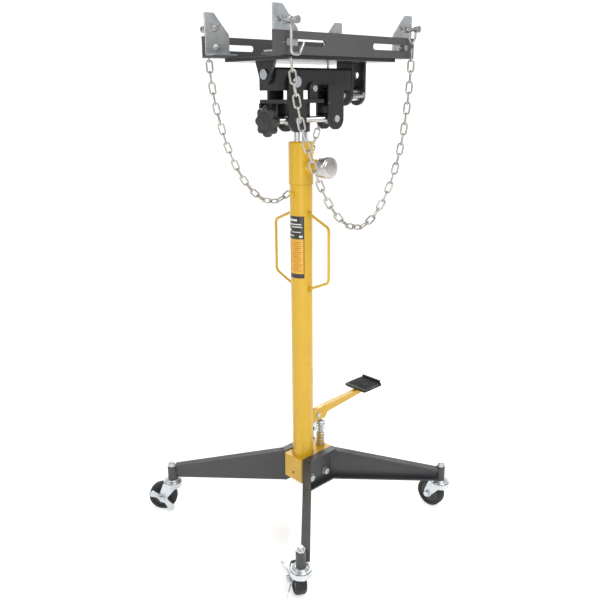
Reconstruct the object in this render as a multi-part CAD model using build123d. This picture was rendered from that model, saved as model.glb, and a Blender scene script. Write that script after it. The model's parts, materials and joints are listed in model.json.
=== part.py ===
from build123d import *
import os
from math import cos, radians, sin, tan

# Transmission jack: a telescoping hydraulic column on a four-legged caster base, with a foot
# pump, and a tilting saddle with two slotted rails, four corner brackets and two chains.
# Everything is drawn about the column's axis, X along the saddle rails, and then moved so that
# the origin is the middle of the outline on the floor. All lengths are in millimetres.

# ---- where the column stands from the origin ----
COLUMN_X, COLUMN_Y = -10.0, -12.0

# ---- casters ----
WHEEL_R, WHEEL_W = 37.5, 26.0
CASTER_TRAIL = 27.0
LEG_CENTRE_X = 10.0
STEM_X, STEM_Y = 258.0, 252.0
STEM_R, AXLE_R = 6.0, 4.0
RUNNING = 0.05
GAP = 0.3
FORK_TOP_Z, FORK_T = 79.5, 3.0
FORK_IN = 15.0
CASTERS = {
    "left": (-STEM_X, STEM_Y, 137.0, True),
    "front": (-STEM_X, -STEM_Y, 60.0, True),
    "right": (STEM_X, -STEM_Y, 90.0, False),
    "back": (STEM_X, STEM_Y, 45.0, False),
}

# ---- base ----
BLOCK_X0, BLOCK_X1, BLOCK_Y, BLOCK_Z0, BLOCK_Z1 = -36.0, 78.0, 33.0, 105.0, 171.0
SHEET = 4.0
FLANGE = 20.0
LEG_TOP_Z, LEG_BOTTOM_Z = 174.0, 86.0
ARM_TOP_Z, ARM_BOTTOM_Z = 124.0, 91.0
TUBE_R, TUBE_Z0, TUBE_Z1 = 11.5, 88.0, 125.0
LEG_BOLT_X, LEG_BOLT_Z = (-8.0, 46.0), 113.0

# ---- column ----
CYLINDER_R, CYLINDER_Z1 = 27.0, 880.0
INNER_R0, INNER_R1 = 20.0, 22.5
SLEEVE_R, SLEEVE_Z1 = 29.2, 977.0
RAM_R, RAM_Z0, RAM_Z1 = 17.0, 200.0, 1044.0
HANDLE_R, HANDLE_REACH = 3.5, 92.0
HANDLE_Z = (622.0, 653.0, 783.0, 814.0)
NECK_Z = 921.0

# ---- foot pump ----
PUMP_X, PUMP_R, PUMP_Z1 = 65.0, 9.0, 205.0
PISTON_R, CAP_Z = 6.0, 243.0
PIVOT_X, PIVOT_Z = 44.0, 268.0
ROLLER_X, ROLLER_R = 66.0, 6.0
PAD_X0, PAD_X1, PAD_Y, PAD_Z = 200.0, 274.0, 38.0, 286.0

# ---- head ----
PLATE_X0, PLATE_X1 = -92.0, 24.0
PLATE_Y0, PLATE_Y1, PLATE_Z0, PLATE_Z1 = -54.0, 38.0, 1062.0, 1070.0
EAR_T = 5.0
SCREW_Y, SCREW_Z, SCREW_R = -33.0, 1026.0, 7.0
TRUNNION_X, NUT_X = -59.0, 62.0
EAR_GAP = 16.0
BEAM_X0, BEAM_X1, BEAM_Y, BEAM_Z0, BEAM_Z1 = -97.0, 138.0, 29.0, 1089.0, 1137.0
TILT_X, TILT_Z, TILT_BOLT_R = -47.0, 1107.0, 8.0
GUIDE_X, GUIDE_Z = 8.0, 1093.0
ROLL_Z, ROLL_PIN_R = 1126.0, 7.0
CLEVIS_X = (144.0, 188.0)
CLEVIS_T, CLEVIS_HALF = 7.0, 25.0
ROLL_NUT_Z, ROLL_SCREW_R = 1077.0, 6.0

# ---- saddle ----
SADDLE_X = 37.0
DECK_HALF_X, DECK_HALF_Y, DECK_Z0, DECK_Z1 = 169.0, 107.0, 1150.0, 1158.0
RAIL_HALF, RAIL_Y, RAIL_T, RAIL_TOP, RAIL_FLANGE = 220.0, 118.0, 4.5, 1203.0, 38.0
SLOT_OUT, SLOT_IN, SLOT_R, SLOT_Z = 195.0, 75.0, 6.5, 1181.0
BRACKET_OUT, BRACKET_W, BRACKET_FLAT, BRACKET_T = 216.0, 66.0, 26.0, 3.5
BRACKET_TOP, SHOULDER_Z = 1252.0, 1208.0
CLAMP_IN, CHAIN_BOLT_IN, CHAIN_BOLT_Z = 32.0, 27.0, 1220.0
WIRE_R = 2.6
CHAIN_R = 8.0

os.makedirs("parts", exist_ok=True)


def save(name, *solids):
    """Write one node: its separate solids, moved from the column's axis to the row's origin."""
    group = Compound(children=[s.moved(Location((COLUMN_X, COLUMN_Y, 0))) for s in solids])
    export_step(group, f"parts/{name}.step")


def box(x0, x1, y0, y1, z0, z1):
    return Pos((x0 + x1) / 2, (y0 + y1) / 2, (z0 + z1) / 2) * Box(x1 - x0, y1 - y0, z1 - z0)


def rod_x(radius, x0, x1, y, z):
    return Pos((x0 + x1) / 2, y, z) * Rot(0, 90, 0) * Cylinder(radius, x1 - x0)


def rod_y(radius, x, y0, y1, z):
    return Pos(x, (y0 + y1) / 2, z) * Rot(90, 0, 0) * Cylinder(radius, y1 - y0)


def rod_z(radius, x, y, z0, z1):
    return Pos(x, y, (z0 + z1) / 2) * Cylinder(radius, z1 - z0)


def hexagon(across, start, direction, length):
    """A hexagon bar, across its flats, from a point along an axis."""
    side = (0, 1, 0) if direction[0] else (1, 0, 0)
    flats = RegularPolygon(across / 2, 6, major_radius=False)
    return extrude(Plane(start, x_dir=side, z_dir=direction) * flats, length, dir=direction)


def hex_y(across, x, y0, y1, z):
    return hexagon(across, (x, y0, z), (0, 1, 0), y1 - y0)


def hex_x(across, x0, x1, y, z):
    return hexagon(across, (x0, y, z), (1, 0, 0), x1 - x0)


def hex_z(across, x, y, z0, z1):
    return hexagon(across, (x, y, z0), (0, 0, 1), z1 - z0)


def plate_xz(points, y0, y1):
    """A plate standing along X: its outline in X and Z, from y0 to y1."""
    outline = Plane((0, y1, 0), x_dir=(1, 0, 0), z_dir=(0, -1, 0)) * Polygon(*points, align=None)
    return extrude(outline, y1 - y0, dir=(0, -1, 0))


def plate_yz(points, x0, x1):
    """A plate standing along Y: its outline in Y and Z, from x0 to x1."""
    outline = Plane((x0, 0, 0), x_dir=(0, 1, 0), z_dir=(1, 0, 0)) * Polygon(*points, align=None)
    return extrude(outline, x1 - x0, dir=(1, 0, 0))


def bent_rod(radius, points, bends):
    """A round rod along straight runs joined by arcs."""
    path = FilletPolyline(*points, radius=bends)
    start = path.location_at(0)
    return sweep(Plane(start.position, z_dir=path.tangent_at(0)) * Circle(radius), path)


def star_knob(axis, centre, radius, thick, lobes, bore):
    """A lobed hand knob; its axis is X or Y, and its dome faces along the sign of thick."""
    body = Circle(radius * 0.86)
    for i in range(lobes):
        a = radians(360 / lobes * i)
        body += Pos(radius * 0.8 * cos(a), radius * 0.8 * sin(a)) * Circle(radius * 0.22)
    knob = extrude(body, abs(thick))
    knob = chamfer(knob.edges().group_by(Axis.Z)[-1], 2.0)
    knob = knob + Pos(0, 0, -8) * Cylinder(radius * 0.42, 16) - Pos(0, 0, -9) * Cylinder(bore, 22)
    out = (1 if thick > 0 else -1) * Vector(axis)
    return Plane(centre, x_dir=(0, 0, 1), z_dir=(out.X, out.Y, out.Z)) * knob


# ---------------------------------------------------------------- base
def arm(start, end):
    """One tapering arm of a leg channel, from its bend to the stem tube: web and two flanges."""
    run = Vector(*end) - Vector(*start)
    length = run.length
    side = 1 if run.X > 0 else -1
    web = [(0, LEG_BOTTOM_Z), (length, ARM_BOTTOM_Z), (length, ARM_TOP_Z), (0, LEG_TOP_Z)]
    top = [(0, LEG_TOP_Z - SHEET), (length, ARM_TOP_Z - SHEET), (length, ARM_TOP_Z), (0, LEG_TOP_Z)]
    low = [(0, LEG_BOTTOM_Z), (length, ARM_BOTTOM_Z), (length, ARM_BOTTOM_Z + SHEET),
           (0, LEG_BOTTOM_Z + SHEET)]
    solid = plate_xz(web, -SHEET, 0)
    for outline in (top, low):
        solid += plate_xz(outline, -FLANGE, 0)
    if side < 0:
        solid = mirror(solid, Plane.YZ)
    turn = run.get_signed_angle(Vector(side, 0, 0), Vector(0, 0, -1))
    return Pos(start[0], start[1], 0) * Rot(0, 0, turn) * solid


def leg_channel():
    """The leg channel on the block's -Y face: a middle length, two bent arms and two stem tubes."""
    x0, x1 = BLOCK_X0 + 6, BLOCK_X1 - 6
    web_y = -BLOCK_Y
    solid = box(x0, x1, web_y - SHEET, web_y, LEG_BOTTOM_Z, LEG_TOP_Z)
    for z in (LEG_BOTTOM_Z, LEG_TOP_Z - SHEET):
        solid += box(x0, x1, web_y - FLANGE, web_y, z, z + SHEET)
    tubes, bores = [], []
    for x, bend in ((LEG_CENTRE_X - STEM_X, x0), (LEG_CENTRE_X + STEM_X, x1)):
        inward = -6.0 if x > 0 else 6.0
        solid += arm((bend, web_y), (x + inward, -STEM_Y + 6.0))
        solid += rod_z(FLANGE * 0.2, bend, web_y - SHEET / 2, LEG_BOTTOM_Z, LEG_TOP_Z) & box(
            bend - 4, bend + 4, web_y - FLANGE, web_y, LEG_BOTTOM_Z, LEG_TOP_Z)
        tubes.append(rod_z(TUBE_R, x, -STEM_Y, TUBE_Z0, TUBE_Z1))
        bores.append(rod_z(STEM_R, x, -STEM_Y, TUBE_Z0 - 1, TUBE_Z1 + 1))
    for tube in tubes:
        solid += tube
    for bore in bores:
        solid -= bore
    for x in LEG_BOLT_X:
        solid -= rod_y(5.0, x, web_y - SHEET - 1, web_y + 1, LEG_BOLT_Z)
    return solid


def base_block():
    block = box(BLOCK_X0, BLOCK_X1, -BLOCK_Y, BLOCK_Y, BLOCK_Z0, BLOCK_Z1)
    block = chamfer(block.edges().filter_by(Axis.Z), 2.0)
    for side in (-1, 1):
        for x in LEG_BOLT_X:
            y0, y1 = sorted((side * (BLOCK_Y - 22), side * (BLOCK_Y + 1)))
            block -= rod_y(5.0, x, y0, y1, LEG_BOLT_Z)
    return block - rod_x(4.0, BLOCK_X0 - 1, BLOCK_X0 + 12, 0, BLOCK_Z0 + 20)


def leg_bolt(x, side):
    head_y = sorted((side * (BLOCK_Y + SHEET), side * (BLOCK_Y + SHEET + 8)))
    shank_y = sorted((side * (BLOCK_Y - 20), side * (BLOCK_Y + SHEET)))
    washer_y = sorted((side * (BLOCK_Y + SHEET), side * (BLOCK_Y + SHEET + 1.5)))
    bolt = hex_y(16, x, *head_y, LEG_BOLT_Z) + rod_y(5.0, x, *shank_y, LEG_BOLT_Z)
    return bolt + rod_y(10.5, x, *washer_y, LEG_BOLT_Z)


def base():
    front = leg_channel()
    save("leg_channel_front", front)
    save("leg_channel_back", mirror(front, Plane.XZ))
    save("base_block", base_block())
    save("leg_bolts", *[leg_bolt(x, side) for x in LEG_BOLT_X for side in (-1, 1)])


# ---------------------------------------------------------------- casters
def caster_stem():
    """The stem through the leg tube, with its riveted foot, and the raceway cup pressed on it."""
    stem = rod_z(STEM_R, 0, 0, 75.8, 137) + rod_z(8, 0, 0, 73.6, FORK_TOP_Z - FORK_T - GAP)
    cup = rod_z(23.5, 0, 0, FORK_TOP_Z + GAP, 83.5)
    cup = fillet(cup.edges().group_by(Axis.Z)[-1], 1.5)
    cup += rod_z(15, 0, 0, 83, TUBE_Z0)
    return stem + cup


def stem_nut():
    nut = hex_z(19, 0, 0, TUBE_Z1, TUBE_Z1 + 7) + rod_z(8.2, 0, 0, TUBE_Z1 + 7, TUBE_Z1 + 10)
    return nut - rod_z(STEM_R, 0, 0, TUBE_Z1 - 1, TUBE_Z1 + 12)


def fork():
    """The swivel fork: a pressed crown and two cheeks down to the axle."""
    crown = rod_z(24.5, 0, 0, FORK_TOP_Z - FORK_T, FORK_TOP_Z)
    outline = [(-22, FORK_TOP_Z), (23, FORK_TOP_Z), (CASTER_TRAIL + 10, 44), (CASTER_TRAIL + 7, 31),
               (CASTER_TRAIL - 6, 28), (CASTER_TRAIL - 12, 37)]
    cheek = plate_xz(outline, FORK_IN, FORK_IN + 2.5)
    solid = crown
    for cut in (cheek, mirror(cheek, Plane.XZ)):
        solid += cut
    skirt = rod_z(24.5, 0, 0, 66, FORK_TOP_Z) - rod_z(22, 0, 0, 60, 90)
    solid += skirt - box(0, 30, -FORK_IN, FORK_IN, 60, FORK_TOP_Z - FORK_T)
    solid -= rod_z(STEM_R + RUNNING, 0, 0, 60, 90)
    return solid - rod_y(AXLE_R, CASTER_TRAIL, -30, 30, WHEEL_R)


def wheel():
    tyre = rod_y(WHEEL_R, CASTER_TRAIL, -WHEEL_W / 2, WHEEL_W / 2, WHEEL_R)
    tyre = fillet(tyre.edges().filter_by(GeomType.CIRCLE), 4.0)
    for side in (-1, 1):
        y0, y1 = sorted((side * (WHEEL_W / 2 - 3), side * (WHEEL_W / 2 + 1)))
        tyre -= rod_y(26, CASTER_TRAIL, y0, y1, WHEEL_R)
        y0, y1 = sorted((side * 8, side * (WHEEL_W / 2 + 1.2)))
        tyre += rod_y(9, CASTER_TRAIL, y0, y1, WHEEL_R)
    return tyre - rod_y(AXLE_R + RUNNING, CASTER_TRAIL, -30, 30, WHEEL_R)


def axle(braked):
    far = FORK_IN + 2.5
    near = far + (3.2 if braked else 0)
    bolt = rod_y(AXLE_R, CASTER_TRAIL, -far, near + 7, WHEEL_R)
    bolt += hex_y(14, CASTER_TRAIL, -far - 5, -far, WHEEL_R)
    return bolt + hex_y(14, CASTER_TRAIL, near, near + 6, WHEEL_R)


def brake_lever():
    """The butterfly lever on the axle: a flat hub with two paddles bent away from the wheel."""
    lean, bend = 40.0, 25.0
    y0 = FORK_IN + 2.5 + GAP
    lever = lever_plate(Pos(-7, 0) * Circle(9), Pos(7, 0) * Circle(9))
    paddle = lever_plate(Pos(6.5, 0) * Circle(6.5), Pos(24.5, 0) * Circle(9.5))
    paddle = Pos(10, 0, 0) * Rot(0, -bend, 0) * paddle
    lever += paddle
    lever += Rot(0, 0, 180) * paddle
    lever -= Cylinder(AXLE_R + RUNNING, 20)
    along = (cos(radians(lean)), 0, sin(radians(lean)))
    return Plane((CASTER_TRAIL, y0, WHEEL_R), x_dir=along, z_dir=(0, 1, 0)) * lever


def lever_plate(*discs):
    """A plate 2.4 mm thick with the outline that wraps some discs."""
    return extrude(make_hull([edge for disc in discs for edge in disc.edges()]), 2.4)


def casters():
    stems, nuts = [], []
    for name, (x, y, heading, braked) in CASTERS.items():
        place = Pos(LEG_CENTRE_X + x, y, 0) * Rot(0, 0, heading)
        stems.append(Pos(LEG_CENTRE_X + x, y, 0) * caster_stem())
        nuts.append(Pos(LEG_CENTRE_X + x, y, 0) * stem_nut())
        save(f"caster_fork_{name}", place * fork(), place * axle(braked))
        save(f"caster_wheel_{name}", place * wheel())
        if braked:
            save(f"brake_lever_{name}", place * brake_lever())
    save("caster_stems", *stems)
    save("stem_nuts", *nuts)


# ---------------------------------------------------------------- column
def handle(side):
    foot, low, high, top = HANDLE_Z
    out = side * HANDLE_REACH
    points = [(0, side * 20, foot), (0, out, low), (0, out, high), (0, side * 20, top)]
    return bent_rod(HANDLE_R, points, 14) - rod_z(CYLINDER_R, 0, 0, 600, 840)


def gland_sleeve():
    sleeve = rod_z(SLEEVE_R, 0, 0, CYLINDER_Z1, SLEEVE_Z1)
    sleeve = chamfer(sleeve.edges().group_by(Axis.Z)[-1], 3.0)
    sleeve -= rod_z(RAM_R + RUNNING, 0, 0, 800, 1000)
    return sleeve - rod_y(5.0 + RUNNING, 0, -40, -20, NECK_Z)


def release_neck():
    neck = rod_y(17, 0, -48, -20, NECK_Z) + rod_y(12, 0, -70, -47, NECK_Z)
    neck -= rod_z(SLEEVE_R, 0, 0, 800, 1000)
    return neck - rod_y(5.0 + RUNNING, 0, -80, -20, NECK_Z)


def release_knob():
    grip = rod_y(25.5, 0, -97, -71, NECK_Z)
    grip = chamfer(grip.edges().filter_by(GeomType.CIRCLE), 3.0)
    dome = Pos(0, -96.9, NECK_Z) * Rot(90, 0, 0) * Cylinder(20, 3)
    return grip + dome + rod_y(5.0, 0, -72, -24, NECK_Z)


def column():
    tube = rod_z(CYLINDER_R, 0, 0, BLOCK_Z1, CYLINDER_Z1)
    tube -= rod_z(CYLINDER_R - 2.5, 0, 0, BLOCK_Z1 - 1, CYLINDER_Z1 + 1)
    save("column_cylinder", tube - rod_x(4.0, -30, -20, 0, 855))
    inner = rod_z(INNER_R1, 0, 0, BLOCK_Z1, CYLINDER_Z1)
    save("pressure_cylinder", inner - rod_z(INNER_R0, 0, 0, BLOCK_Z1 + 6, CYLINDER_Z1 + 1))
    save("gland_sleeve", gland_sleeve())
    filler = hex_x(12, -CYLINDER_R - 5, -CYLINDER_R, 0, 855)
    save("filler_screw", filler + rod_x(4.0, -CYLINDER_R, -CYLINDER_R + 2.5, 0, 855))
    save("release_neck", release_neck())
    save("release_knob", release_knob())
    save("handle_back", handle(1))
    save("handle_front", handle(-1))
    save("ram", rod_z(RAM_R, 0, 0, RAM_Z0, RAM_Z1))
    piston = rod_z(INNER_R0 - RUNNING, 0, 0, 182, RAM_Z0) - rod_z(INNER_R0 - 2, 0, 0, 188, 193)
    save("ram_piston", piston + rod_z(INNER_R0 - 2, 0, 0, 187, 194))


# ---------------------------------------------------------------- foot pump
def pump_bracket():
    """Two lugs on the column that carry the pedal's pivot pin."""
    lug = plate_xz([(20, PIVOT_Z - 22), (PIVOT_X + 4, PIVOT_Z - 11), (PIVOT_X + 11, PIVOT_Z),
                    (PIVOT_X + 4, PIVOT_Z + 11), (20, PIVOT_Z + 18)], 8, 13)
    lugs = [part - rod_z(CYLINDER_R, 0, 0, 200, 320) - rod_y(4.0, PIVOT_X, -20, 20, PIVOT_Z)
            for part in (lug, mirror(lug, Plane.XZ))]
    return lugs


def pump_spring():
    """The return spring round the pump, between the block and the piston's cap."""
    z0, z1, wire, mean = BLOCK_Z1 + 1.8, CAP_Z - 8.2, 1.5, 11.3
    turns = 8
    path = Pos(PUMP_X, 0, z0) * Helix(pitch=(z1 - z0) / turns, height=z1 - z0, radius=mean)
    section = Plane(path.position_at(0), z_dir=path.tangent_at(0)) * Circle(wire)
    return sweep(section, path, is_frenet=True)


def pedal_arm():
    outline = [(PIVOT_X - 10, PIVOT_Z - 8), (ROLLER_X - 8, 247), (ROLLER_X + 9, 247), (ROLLER_X + 20, 262),
               (PAD_X0 - 10, 272), (PAD_X1 - 14, 280), (PAD_X1 - 14, PAD_Z), (PAD_X0, PAD_Z),
               (PIVOT_X + 24, 283), (PIVOT_X, PIVOT_Z + 12), (PIVOT_X - 10, PIVOT_Z + 4)]
    arm_plate = plate_xz(outline, -7.5, 7.5)
    slot = box(ROLLER_X - 20, ROLLER_X + 14, -4.5, 4.5, 200, PIVOT_Z - 7)
    arm_plate -= slot
    arm_plate -= rod_y(4.0 + RUNNING, PIVOT_X, -20, 20, PIVOT_Z)
    arm_plate -= rod_y(3.0, ROLLER_X, -20, 20, CAP_Z + ROLLER_R + GAP)
    return arm_plate + box(PAD_X0 + 4, PAD_X1 - 6, -PAD_Y + 6, PAD_Y - 6, PAD_Z, PAD_Z + 3)


def pedal_pad():
    pad = box(PAD_X0, PAD_X1, -PAD_Y, PAD_Y, PAD_Z + 3, PAD_Z + 9)
    pad = fillet(pad.edges().filter_by(Axis.Z), 5.0)
    for i in range(7):
        x = PAD_X0 + 12 + i * 8
        pad += box(x, x + 3, -PAD_Y + 5, PAD_Y - 5, PAD_Z + 8, PAD_Z + 11)
    return pad + box(PAD_X1 - 6, PAD_X1 - 1, -PAD_Y + 6, PAD_Y - 6, PAD_Z + 8, PAD_Z + 17)


def foot_pump():
    cylinder = rod_z(PUMP_R, PUMP_X, 0, BLOCK_Z1, PUMP_Z1)
    save("pump_cylinder", cylinder - rod_z(PISTON_R + RUNNING, PUMP_X, 0, BLOCK_Z1 + 4, 300))
    save("pump_bracket", *pump_bracket())
    pin = rod_y(4.0, PIVOT_X, -13, 13, PIVOT_Z) + rod_y(6.5, PIVOT_X, -17, -13, PIVOT_Z)
    save("pedal_pivot_pin", pin + rod_y(6.5, PIVOT_X, 13, 15, PIVOT_Z))
    piston = rod_z(PISTON_R, PUMP_X, 0, BLOCK_Z1 + 16, CAP_Z)
    save("pump_piston", piston + rod_z(13, PUMP_X, 0, CAP_Z - 6, CAP_Z))
    save("pump_spring", pump_spring())
    save("pedal_arm", pedal_arm())
    save("pedal_pad", pedal_pad())
    roller_z = CAP_Z + ROLLER_R + GAP
    roller = rod_y(ROLLER_R, ROLLER_X, -4.2, 4.2, roller_z) + rod_y(3.0, ROLLER_X, -7.5, 7.5, roller_z)
    save("pedal_roller", roller)


# ---------------------------------------------------------------- head
def hung_ear(x, z_top, half, bottom, y0):
    """A plate that hangs down and ends in a half circle about the screw's height."""
    y1 = y0 + EAR_T
    ear = box(x - half, x + half, y0, y1, SCREW_Z, z_top) + rod_y(half, x, y0, y1, SCREW_Z)
    return ear & box(x - half, x + half, y0, y1, SCREW_Z - bottom, z_top)


def head_base():
    """The turning head on the ram: socket, top plate, two hanging ears and two pivot ears."""
    near, far = SCREW_Y - EAR_GAP - EAR_T, SCREW_Y + EAR_GAP
    base_plate = box(PLATE_X0, PLATE_X1, PLATE_Y0, PLATE_Y1, PLATE_Z0, PLATE_Z1)
    base_plate = fillet(base_plate.edges().filter_by(Axis.Z), 5.0)
    socket = rod_z(22, 0, 0, 998, PLATE_Z0)
    solid = base_plate + socket - rod_z(RAM_R + RUNNING, 0, 0, 900, RAM_Z1 + GAP)
    for y0 in (near, far):
        solid += hung_ear(TRUNNION_X, PLATE_Z0, 26, 25, y0)
    solid += box(PLATE_X0, PLATE_X1, PLATE_Y1 - EAR_T, PLATE_Y1, 1034, PLATE_Z0)
    for y0 in (-BEAM_Y - 7, BEAM_Y + 0.5):
        ear = box(TILT_X - 22, TILT_X + 22, y0, y0 + 6.5, PLATE_Z1, TILT_Z - 4)
        ear += rod_y(22, TILT_X, y0, y0 + 6.5, TILT_Z - 4) & box(-200, 200, -99, 99, 1080, 1121)
        lug = box(-6, 22, y0, y0 + 6.5, PLATE_Z1, 1092) + rod_y(14, 8, y0, y0 + 6.5, 1092)
        solid += ear + lug
    solid -= rod_y(TILT_BOLT_R, TILT_X, -60, 60, TILT_Z)
    solid -= rod_y(4.0, GUIDE_X, -60, 60, GUIDE_Z)
    return solid - rod_y(8 + RUNNING, TRUNNION_X, near - 1, far + EAR_T + 1, SCREW_Z)


def tilt_beam():
    """The inverted channel that tilts on the head and carries the saddle's roll pins."""
    beam = box(BEAM_X0, BEAM_X1, -BEAM_Y, BEAM_Y, BEAM_Z0, BEAM_Z1)
    beam = fillet(beam.edges().filter_by(Axis.X).group_by(Axis.Z)[-1], 6.0)
    beam -= box(BEAM_X0 + 9, BEAM_X1 - 9, -BEAM_Y + 5, BEAM_Y - 5, BEAM_Z0 - 1, BEAM_Z1 - 5)
    beam -= rod_y(TILT_BOLT_R + RUNNING, TILT_X, -60, 60, TILT_Z)
    return beam - rod_x(ROLL_PIN_R, BEAM_X0 - 1, BEAM_X1 + 1, 0, ROLL_Z - 3)


def hanging_arm():
    """The clevis under the beam: a long near ear, a short far ear and the web between them."""
    near, far = SCREW_Y - EAR_GAP - EAR_T, SCREW_Y + EAR_GAP
    solid = hung_ear(NUT_X, BEAM_Z0, 25, 24, far) + hung_ear(NUT_X, 1101, 25, 24, near)
    solid += box(NUT_X - 25, NUT_X + 25, near, -BEAM_Y, 1096, 1101)
    solid += box(NUT_X + 20, NUT_X + 25, near, far + EAR_T, 1052, BEAM_Z0)
    return solid - rod_y(8 + RUNNING, NUT_X, near - 1, far + EAR_T + 1, SCREW_Z)


def trunnion(x, bore):
    """A cross pin between two ears, swollen in the middle where the screw passes through."""
    near, far = SCREW_Y - EAR_GAP - EAR_T, SCREW_Y + EAR_GAP + EAR_T
    body = rod_y(8, x, near - 3, far + 3, SCREW_Z)
    body += rod_y(12, x, SCREW_Y - 15.5, SCREW_Y + 15.5, SCREW_Z)
    return body - rod_x(bore, x - 20, x + 20, SCREW_Y, SCREW_Z)


def screws():
    """The tilt screw along X and the roll screw along Y, each with collars and a lobed knob."""
    knob_x = -122.0
    tilt = rod_x(SCREW_R, knob_x - 2, 88, SCREW_Y, SCREW_Z)
    for x in (TRUNNION_X - 15.3, TRUNNION_X + 12.3):
        tilt += rod_x(10, x, x + 3, SCREW_Y, SCREW_Z)
    save("tilt_screw", tilt)
    save("tilt_knob", star_knob((1, 0, 0), (knob_x, SCREW_Y, SCREW_Z), 33, -17, 8, SCREW_R))
    x = roll_screw_x()
    roll = rod_y(ROLL_SCREW_R, x, -42, 72, ROLL_NUT_Z)
    for y in (36.2, 46.3):
        roll += rod_y(9.5, x, y, y + 3.5, ROLL_NUT_Z)
    save("roll_screw", roll)
    save("roll_knob", star_knob((0, 1, 0), (x, 70, ROLL_NUT_Z), 26, 15, 7, ROLL_SCREW_R))


def roll_screw_x():
    return (CLEVIS_X[0] + CLEVIS_T + CLEVIS_X[1]) / 2


def roll_bracket():
    """The bearing plate beside the beam that holds the roll screw."""
    x = roll_screw_x()
    plate = box(100, x + 16, 40, 46, ROLL_NUT_Z - 16, 1112)
    plate += box(100, BEAM_X1 - 4, BEAM_Y, 40, 1094, 1112)
    plate -= box(142, x + 30, 30, 60, 1096, 1120)
    return plate - rod_y(ROLL_SCREW_R + RUNNING, x, 30, 60, ROLL_NUT_Z)


def roll_nut():
    x = roll_screw_x()
    body = box(CLEVIS_X[0] + CLEVIS_T + 1, CLEVIS_X[1] - 1, -14, 14, ROLL_NUT_Z - 13, ROLL_NUT_Z + 13)
    body = chamfer(body.edges().filter_by(Axis.X), 3.0)
    body += rod_x(8, CLEVIS_X[0] - 3, CLEVIS_X[1] + CLEVIS_T + 3, 0, ROLL_NUT_Z)
    return body - rod_y(ROLL_SCREW_R + 0.6, x, -30, 30, ROLL_NUT_Z)


def saddle_lugs():
    """What hangs under the saddle deck: the hinge ear at one end and the clevis at the other."""
    z = ROLL_Z - 3
    ear = plate_yz([(-31, DECK_Z0), (31, DECK_Z0), (17, z - 12), (-17, z - 12)], -106, -98.5)
    ear += rod_x(19, -106, -98.5, 0, z - 2)
    lugs = [ear - rod_x(ROLL_PIN_R + RUNNING, -120, -80, 0, z)]
    for x0 in CLEVIS_X:
        plate = box(x0, x0 + CLEVIS_T, -CLEVIS_HALF, CLEVIS_HALF, ROLL_NUT_Z, DECK_Z0)
        plate += rod_x(CLEVIS_HALF, x0, x0 + CLEVIS_T, 0, ROLL_NUT_Z)
        plate -= rod_x(8 + RUNNING, x0 - 5, x0 + 20, 0, ROLL_NUT_Z)
        lugs.append(plate - rod_x(ROLL_PIN_R + RUNNING, x0 - 5, x0 + 20, 0, z))
    return lugs


def roll_pin(x0, x1, head):
    z = ROLL_Z - 3
    pin = rod_x(ROLL_PIN_R, x0, x1, 0, z)
    return pin + rod_x(11, *sorted((head, head + (-4 if head < 0 else 4))), 0, z)


def head():
    save("head_base", head_base())
    bolt = rod_y(TILT_BOLT_R, TILT_X, -BEAM_Y - 7, BEAM_Y + 7, TILT_Z)
    bolt += rod_y(12, TILT_X, -BEAM_Y - 12, -BEAM_Y - 7, TILT_Z)
    bolt += hex_y(20, TILT_X, BEAM_Y + 7, BEAM_Y + 15, TILT_Z)
    guides = []
    for side in (-1, 1):
        inner, outer = side * (BEAM_Y + 0.5), side * (BEAM_Y + 7)
        guide = rod_y(4.0, GUIDE_X, *sorted((inner, outer + side * 4)), GUIDE_Z)
        guides.append(guide + hex_y(13, GUIDE_X, *sorted((outer, outer + side * 5)), GUIDE_Z))
    save("tilt_bolts", bolt, *guides)
    save("tilt_beam", tilt_beam())
    save("hanging_arm", hanging_arm())
    save("roll_pins", roll_pin(-107, BEAM_X0 + 9, -106.8), roll_pin(BEAM_X1 - 9, 152, 151.8))
    save("tilt_trunnion", trunnion(TRUNNION_X, SCREW_R + RUNNING))
    save("tilt_nut", trunnion(NUT_X, SCREW_R + 1.1))
    screws()
    save("roll_bracket", roll_bracket())
    save("roll_nut", roll_nut())


# ---------------------------------------------------------------- saddle
def rail():
    """The angle rail on the -Y side, with one long slot near each end."""
    x0, x1 = SADDLE_X - RAIL_HALF, SADDLE_X + RAIL_HALF
    solid = box(x0, x1, -RAIL_Y, -RAIL_Y + RAIL_T, DECK_Z1, RAIL_TOP)
    solid += box(x0, x1, -RAIL_Y, -RAIL_Y + RAIL_FLANGE, DECK_Z1, DECK_Z1 + RAIL_T)
    for side in (-1, 1):
        a, b = sorted((SADDLE_X + side * SLOT_OUT, SADDLE_X + side * SLOT_IN))
        outer, inner = -RAIL_Y - 1, -RAIL_Y + RAIL_T + 1
        slot = box(a + SLOT_R, b - SLOT_R, outer, inner, SLOT_Z - SLOT_R, SLOT_Z + SLOT_R)
        for x in (a + SLOT_R, b - SLOT_R):
            slot += rod_y(SLOT_R, x, outer, inner, SLOT_Z)
        solid -= slot
    return solid


def bracket():
    """The corner bracket at the +X end of the -Y rail: a tall plate and a foot along the rail."""
    x1 = SADDLE_X + BRACKET_OUT
    x0 = x1 - BRACKET_W
    foot_z = DECK_Z1 + RAIL_T + GAP
    y0 = -RAIL_Y + RAIL_T + GAP
    solid = plate_xz([(x0, foot_z), (x1, foot_z), (x1, BRACKET_TOP), (x1 - BRACKET_FLAT, BRACKET_TOP),
                      (x0, SHOULDER_Z)], y0, y0 + BRACKET_T)
    solid += box(x0, x1, y0, y0 + 30, foot_z, foot_z + BRACKET_T)
    solid -= rod_y(4.5, x1 - CLAMP_IN, y0 - 1, y0 + 10, SLOT_Z)
    return solid - rod_y(4.0, x1 - CHAIN_BOLT_IN, y0 - 1, y0 + 10, CHAIN_BOLT_Z)


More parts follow.
